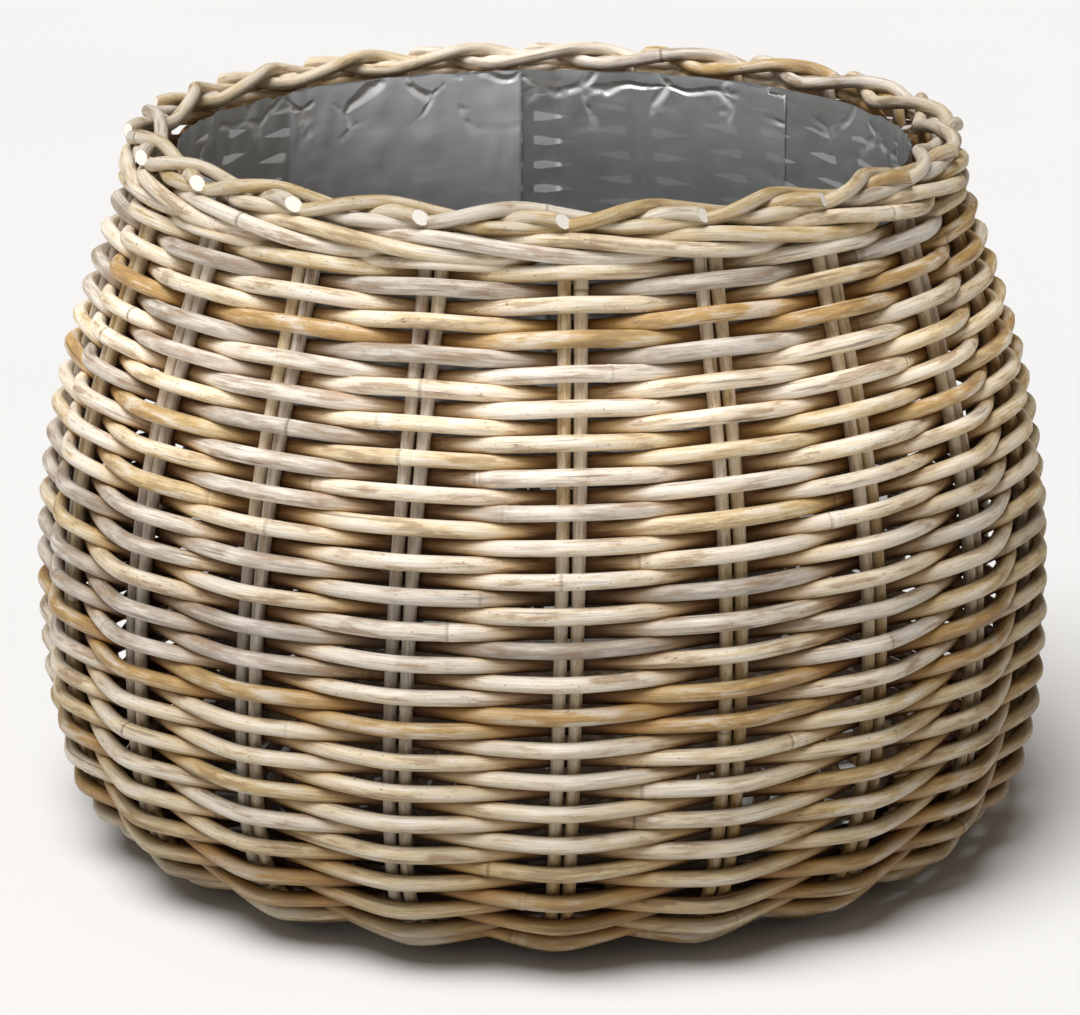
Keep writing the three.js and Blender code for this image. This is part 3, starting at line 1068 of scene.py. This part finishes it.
@dataclass
class Weave(CanePart):
    """Two weavers that chase each other up the side, joined from many rods."""

    # Weight of each tone high on the side, and what is added to it at the foot
    TONES = {
        CaneTone.ASH: (2.5, 0), CaneTone.BLEACHED: (8, -5), CaneTone.CREAM: (6, -3),
        CaneTone.STRAW: (3, 3), CaneTone.OCHRE: (1.2, 4), CaneTone.GOLDEN: (0.8, 0),
    }

    seed: int = 11
    turns: int = 23
    lengths: int = 5
    radius: float = 0.0039
    swing: float = 0.0069
    dip: float = 0.0011
    top_lift: float = 0.0035
    crimp: float = 0.95
    butt_gap: float = 0.01
    points_per_pair: int = 30
    lift_wander: float = 0.0008
    lift_noise: Triple = (0.4, 0.37, 2.0)
    out_wander: float = 0.0007
    out_noise: Triple = (0.9, 0.61, 5.0)
    last_climb: float = 0.3
    last_tip: float = 0.6
    least_rods: int = 4
    join_wander: int = 3
    low_fade: float = 2.4
    girths: tuple[float, float] = (0.94, 1.04)
    finish: CaneFinish = CaneFinish("weaver_cane", 0.94, 0.6)

    def span(self) -> tuple[float, float]:
        """Where the weave starts and ends.

        Returns:
            Lengths up the side of the first and last row.
        """
        form = self.form
        sag = form.foot_radius * (1 - math.cos(math.pi / form.stake_pairs))
        high = form.length - form.seat - form.wale_step - form.row_step + self.top_lift
        return form.wale_step + form.row_step + sag, high

    @staticmethod
    def wander(place: float, seed: int, pattern: Triple) -> float:
        """Wandering of a rod at a place, by noise with a fineness, a step by the seed and a layer."""
        fineness, step, layer = pattern
        return noise.noise(Vector((place * fineness, seed * step, layer)))

    def path(self, first_pair: int, side: int, start: float, end: float, seed: int) -> list[Vector]:
        """Line of one rod of a weaver, crimped at the pairs and nearly straight between them.

        Args:
            first_pair: Pair at which the weaver starts.
            side: 1 where the weaver is outside that pair, -1 where it is inside.
            start: Pair behind which the rod takes over, counted from the weaver's first.
            end: Pair behind which the next rod takes over.
            seed: Seed of the rod's small wanderings.

        Returns:
            The line's points.
        """
        form = self.form
        low, high = self.span()
        climb = (high - low) / self.turns / form.stake_pairs
        level = self.turns * form.stake_pairs
        head, tail = start + self.butt_gap, end - self.butt_gap
        count = round((tail - head) * self.points_per_pair)
        line = []
        for i in range(count + 1):
            q = head + (tail - head) * i / count
            wave = side * math.asin(self.crimp * math.cos(math.pi * q)) / math.asin(self.crimp)
            lift = self.lift_wander * self.wander(q, seed, self.lift_noise)
            lift -= self.dip * (1 - wave) / 2
            out = self.swing * wave + self.out_wander * self.wander(q, seed, self.out_noise)
            rise = climb * (min(q, level) + self.last_climb * max(0.0, q - level))
            line.append(form.point(low + rise + lift, first_pair + q, out))
        return line

    def build(self) -> None:
        """Builds and dresses the lengths of both weavers."""
        form = self.form
        rng = random.Random(self.seed)
        total = self.turns * form.stake_pairs
        half = form.stake_pairs // 2
        for letter, first_pair, side in (("a", 0, 1), ("b", half, -1)):
            inside = side > 0
            start = -1 if inside else 0
            for i in range(self.lengths):
                rods = []
                count = self.least_rods + (i + inside) % 2
                first = total * i / self.lengths
                for k in range(1, count + 1):
                    end = round(first + total / self.lengths * k / count)
                    if k < count:
                        end += rng.randrange(-self.join_wander, self.join_wander + 1)
                    end += (end + inside) % 2
                    last = i == self.lengths - 1 and k == count
                    if last:
                        end = total + half + inside
                    low_share = max(0.0, 1 - start / total * self.low_fade)
                    tones = {tone: high + low * low_share for tone, (high, low) in self.TONES.items()}
                    tone = draw_tone(rng, tones)
                    seed = rng.randrange(SEEDS)
                    far = draw_tone(rng, tones)
                    radius = self.radius * rng.uniform(*self.girths)
                    line = self.path(first_pair, side, start, end, seed)
                    tip = self.last_tip if last else 0.0
                    rods.append(Rod(line, radius, tone, seed, far_tone=far, tip=tip))
                    start = end
                self.place(f"weaver_{letter}{i + 1}", "cane", rods)


@dataclass
class Base(CanePart):
    """Crossed sticks with two rods woven round their spokes."""

    sticks: int = 5
    stick_radius: float = 0.003
    weaver_radius: float = 0.00275
    centre_radius: float = 0.032
    butt: float = 0.013
    row_gap: float = 0.0005
    slack: float = 1.08
    points_per_spoke: int = 14
    stick_seed: int = 601
    weaver_seed: int = 640
    finish: CaneFinish = CaneFinish("base_cane", 0.92, 0.3)

    def spoke_angle(self, spokes: float) -> float:
        """Angle of a place counted in spokes."""
        return self.form.angle(0.5, 0) + TURN * spokes / (2 * self.sticks)

    def weaver(self, offset: int) -> list[Vector]:
        """Line of one base weaver, from the middle to the edge.

        Args:
            offset: Spoke at which the weaver starts.

        Returns:
            The line's points.
        """
        form = self.form
        spokes = 2 * self.sticks
        edge = form.foot_radius - self.butt - self.weaver_radius - form.clearance
        step = 2 * self.weaver_radius + self.row_gap
        turns = math.floor((edge - self.centre_radius) / (2 * step))
        reach = self.stick_radius + self.weaver_radius + form.clearance
        count = turns * spokes * self.points_per_spoke
        line = []
        for i in range(count + 1):
            q = turns * spokes * i / count
            radius = self.centre_radius + (edge - self.centre_radius) * q / (turns * spokes)
            z = form.foot_z + reach * self.slack * math.cos(math.pi * q)
            line.append(form.round_point(radius, z, self.spoke_angle(q + offset)))
        return line

    def build(self) -> None:
        """Builds and dresses the sticks and both weavers."""
        form = self.form
        reach = form.foot_radius - form.weaver_radius - form.clearance
        sticks = []
        for i in range(self.sticks):
            ends = [form.round_point(r, form.foot_z, self.spoke_angle(i)) for r in (-reach, 0.0, reach)]
            sticks.append(Rod(smooth_path(ends), self.stick_radius, CaneTone.CREAM, self.stick_seed + i))
        self.place("base_slath", "sticks", sticks)
        for letter, offset, tone in (("a", 0, CaneTone.CREAM), ("b", self.sticks, CaneTone.STRAW)):
            rod = Rod(self.weaver(offset), self.weaver_radius, tone, self.weaver_seed + offset)
            self.place(f"base_weaver_{letter}", "cane", [rod])


@dataclass
class Liner:
    """Clear film bag that stands on the base and hangs inside the side, its spare width in two pleats.

    A pleat is the angle where it starts, in degrees, and its share of the spare width.
    """

    # Whether a layer of a pleat is its outside, its back or its front
    LAYER_SIDES = {0.0: 0.0, 1.0: -1.0, 2.0: 1.0}
    FRONT = -90.0

    form: SideForm
    radius: float = 0.1772
    bottom: float = 0.0223
    below_border: float = 0.0115
    corner: float = 0.012
    flat_width: float = 1.65
    layer_gap: float = 0.0008
    fold_angle: float = 1.2
    layer_slope: float = 0.7
    ease_deg: float = 6
    loose_length: float = 0.16
    fold_depth: float = 0.003
    fold_least: float = 0.35
    fold_fineness: tuple[float, float] = (4.5, 4.0)
    crumple_depth: float = 0.002
    crumple_fineness: tuple[float, float] = (16, 42.0)
    edge_dip: float = 0.004
    edge_fineness: float = 5
    edge_layer: float = 3.0
    edge_width: float = 0.003
    flat_middle: float = 0.02
    hole_radius: float = 0.0004
    seam_gap: float = 5e-4
    side_steps: int = 30
    corner_steps: int = 6
    bottom_steps: int = 20
    columns: int = 480
    rows: int = 110
    finish: FilmFinish = FilmFinish()
    pleats: tuple[tuple[float, float], ...] = ((45.0, 0.49), (93.5, 0.51))

    def profile(self) -> list[Vector]:
        """The bag's outline.

        Returns:
            Points as radius and height, from the top edge down the side and across the base.
        """
        top = self.form.height - self.below_border
        bend = self.bottom + self.corner
        steps = self.side_steps
        line = [Vector((self.radius, top + (bend - top) * i / steps, 0.0)) for i in range(steps + 1)]
        for i in range(1, self.corner_steps + 1):
            turned = math.radians(90 / self.corner_steps * i)
            line.append(Vector((self.radius - self.corner * (1 - math.cos(turned)),
                                bend - self.corner * math.sin(turned), 0.0)))
        edge, steps = line[-1].x, self.bottom_steps
        for i in range(1, steps + 1):
            line.append(Vector((edge * (1 - i / steps) + self.hole_radius, self.bottom, 0.0)))
        return line

    def spot(self, travelled: float, widths: list[float]) -> Triple:
        """Follows the film round the bag, back and forth through its pleats.

        Args:
            travelled: Angle travelled along the film in degrees, from the front.
            widths: Width of each pleat in degrees.

        Returns:
            Angle round the basket in degrees, how many layers of film lie outside, and 1 on a pleat's front,
            -1 on its back and 0 elsewhere.
        """
        turns = []
        for (start, _), width in zip(self.pleats, widths):
            turns += [(start + width, 0.0), (start, 1.0), (start + width, 2.0)]
        turns.append((self.FRONT + 360, 0.0))
        at, layer = self.FRONT, 0.0
        for angle, next_layer in turns[:-1]:
            length = abs(angle - at)
            if travelled < length:
                break
            travelled -= length
            at, layer = angle, next_layer
        else:
            angle, next_layer = turns[-1]
            length = angle - at
        if layer > next_layer:
            depth = layer * max(0.0, 1 - travelled / self.ease_deg)
        else:
            rest = 1 - travelled / max(length, 1e-6)
            depth = next_layer - self.layer_slope * (next_layer - layer) * rest
        return at + math.copysign(travelled, angle - at), depth, self.LAYER_SIDES[next_layer]

    def build(self) -> None:
        """Rolls a grid into the bag, pleats and crumples it, and closes its bottom."""
        line = self.profile()
        lengths = lengths_along(line)
        bm = bmesh.new()
        film = bm.verts.layers.float_vector.new("film")
        doubled = bm.verts.layers.float.new("doubled")
        round_film = math.degrees(self.flat_width / self.radius)
        widths = [part * (round_film - 360) / 2 for _, part in self.pleats]
        grid = bmesh.ops.create_grid(bm, x_segments=self.columns, y_segments=self.rows, size=0.5)["verts"]
        for vert in grid:
            share = vert.co.x + 0.5
            down = (vert.co.y + 0.5) * lengths[-1]
            i = min(max(bisect_right(lengths, down) - 1, 0), len(line) - 2)
            at = line[i].lerp(line[i + 1], (down - lengths[i]) / (lengths[i + 1] - lengths[i]))
            degrees, layer, vert[doubled] = self.spot(share * round_film, widths)
            vert.co = self.hang(at, math.radians(degrees), layer, down)
            vert[film] = Vector((share * self.flat_width, down, max(0.0, 1 - down / self.edge_width)))
        seam = [v for v in bm.verts if v.is_boundary]
        bmesh.ops.remove_doubles(bm, verts=seam, dist=self.seam_gap)
        bmesh.ops.recalc_face_normals(bm, faces=bm.faces)
        for edge in bm.edges:
            edge.smooth = edge.calc_face_angle(0.0) < self.fold_angle
        area = sum(face.calc_area() for face in bm.faces)
        piece = place_piece("film_liner_bag", bm, "film_liner", self.finish.material())

    def hang(self, at: Vector, angle: float, layer: float, down: float) -> Vector:
        """Where a spot of the film hangs, with its creases.

        Args:
            at: Radius and height of the smooth bag there.
            angle: Angle round the basket.
            layer: Layers of film outside this one.
            down: Length from the top edge down the film.

        Returns:
            The spot.
        """
        c, s = math.cos(angle), math.sin(angle)
        loose = max(0.0, 1 - down / self.loose_length)
        fold, crumple = (
            noise.noise(Vector((c * across, s * across, down * along)))
            for across, along in (self.fold_fineness, self.crumple_fineness)
        )
        fine = self.edge_fineness
        dip = noise.noise(Vector((c * fine, s * fine, self.edge_layer + layer)))
        inward = self.layer_gap * layer + self.fold_depth * (0.5 + 0.5 * fold) * (self.fold_least + loose)
        inward += self.crumple_depth * loose * abs(crumple)
        edge = -self.edge_dip * abs(dip) * loose
        radius = max(at.x - inward, 0.0) if at.x > self.flat_middle else at.x
        return Vector((radius * c, radius * s, at.y + edge))


@dataclass(frozen=True)
class Lamp:
    """A broad distant lamp: its strength, the way it shines, its angle across in degrees and its colour."""

    name: str
    strength: float
    towards: Triple
    spread: float
    colour: Triple

    def hang(self) -> None:
        """Adds the lamp to the scene."""
        data = bpy.data.lights.new(self.name, "SUN")
        data.energy = self.strength
        data.angle = math.radians(self.spread)
        data.color = self.colour
        lamp = bpy.data.objects.new(self.name, data)
        lamp.rotation_euler = Vector(self.towards).to_track_quat("-Z", "Y").to_euler()
        bpy.context.scene.collection.objects.link(lamp)


@dataclass
class Studio:
    """Camera, soft light and a plain pale floor."""

    FLOOR_NOISE = ((1.5, 1.5, 1.5), 2.0)
    FLOOR_SPAN = (0.3, 0.7)

    lens: float = 134.6
    camera_at: Triple = (-0.0021, -1.9, 0.7395)
    pitch: float = 0.2990
    sensor_width: float = 36.0
    lamps: tuple[Lamp, ...] = (
        Lamp("key", 3.35, (0.33, 0.5, -1.45), 38.0, (0.99, 0.99, 0.995)),
        Lamp("front", 0.22, (0.6, 0.9, -0.45), 50.0, (1.0, 0.985, 0.96)),
        Lamp("fill", 0.07, (-0.85, 0.55, -0.6), 50.0, (1.0, 0.86, 0.7)),
    )
    ambient: float = 0.125
    ambient_colour: Triple = (1.0, 0.86, 0.69)
    floor_colour: Triple = (0.835, 0.835, 0.835)
    floor_shade: float = 0.985
    floor_roughness: float = 0.9
    floor_specular: float = 0.1
    floor_reach: float = 8.0
    floor_cells: int = 8

    def camera(self) -> None:
        """Stands the camera at the photograph's viewing angle."""
        data = bpy.data.cameras.new("camera")
        data.lens = self.lens
        data.sensor_width = self.sensor_width
        stand = bpy.data.objects.new("camera", data)
        stand.location = self.camera_at
        stand.rotation_euler = (math.pi / 2 - self.pitch, 0.0, 0.0)
        bpy.context.scene.collection.objects.link(stand)
        bpy.context.scene.camera = stand

    def floor(self) -> None:
        """Lays the floor, which takes the basket's shadow."""
        bm = bmesh.new()
        cells = self.floor_cells
        bmesh.ops.create_grid(bm, x_segments=cells, y_segments=cells, size=self.floor_reach)
        mesh = bpy.data.meshes.new("floor")
        bm.to_mesh(mesh)
        bm.free()
        bench = NodeBench("floor_paper")
        spot = bench.add("ShaderNodeTexCoord").outputs["Object"]
        tone = bench.span(bench.noise(spot, *self.FLOOR_NOISE), *self.FLOOR_SPAN)
        colour = bench.mix(tone, self.floor_colour, tuple(self.floor_shade * c for c in self.floor_colour))
        paper = bench.add(
            "ShaderNodeBsdfPrincipled",
            {"Base Color": colour, "Roughness": self.floor_roughness,
             "Specular IOR Level": self.floor_specular},
        )
        mesh.materials.append(bench.output(paper.outputs[0]))
        floor = bpy.data.objects.new("floor", mesh)
        bpy.context.scene.collection.objects.link(floor)

    def build(self) -> None:
        """Sets up the camera, lamps, world and floor."""
        scene = bpy.context.scene
        self.camera()
        for lamp in self.lamps:
            lamp.hang()
        world = bpy.data.worlds.new("studio")
        world.use_nodes = True
        background = world.node_tree.nodes["Background"]
        background.inputs["Color"].default_value = (*self.ambient_colour, 1.0)
        background.inputs["Strength"].default_value = self.ambient
        scene.world = world
        scene.view_settings.view_transform = "Standard"
        self.floor()


def main() -> None:
    """Builds the basket on its frame."""
    logging.basicConfig(level=logging.INFO, format="%(name)s: %(message)s")
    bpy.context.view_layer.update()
    form = SideForm()
    Studio().build()
    for part in (Stakes(form), Wales(form), Weave(form), Base(form), Liner(form)):
        part.build()
        LOG.info("built %s", type(part).__name__)


if __name__ == "__main__":
    main()
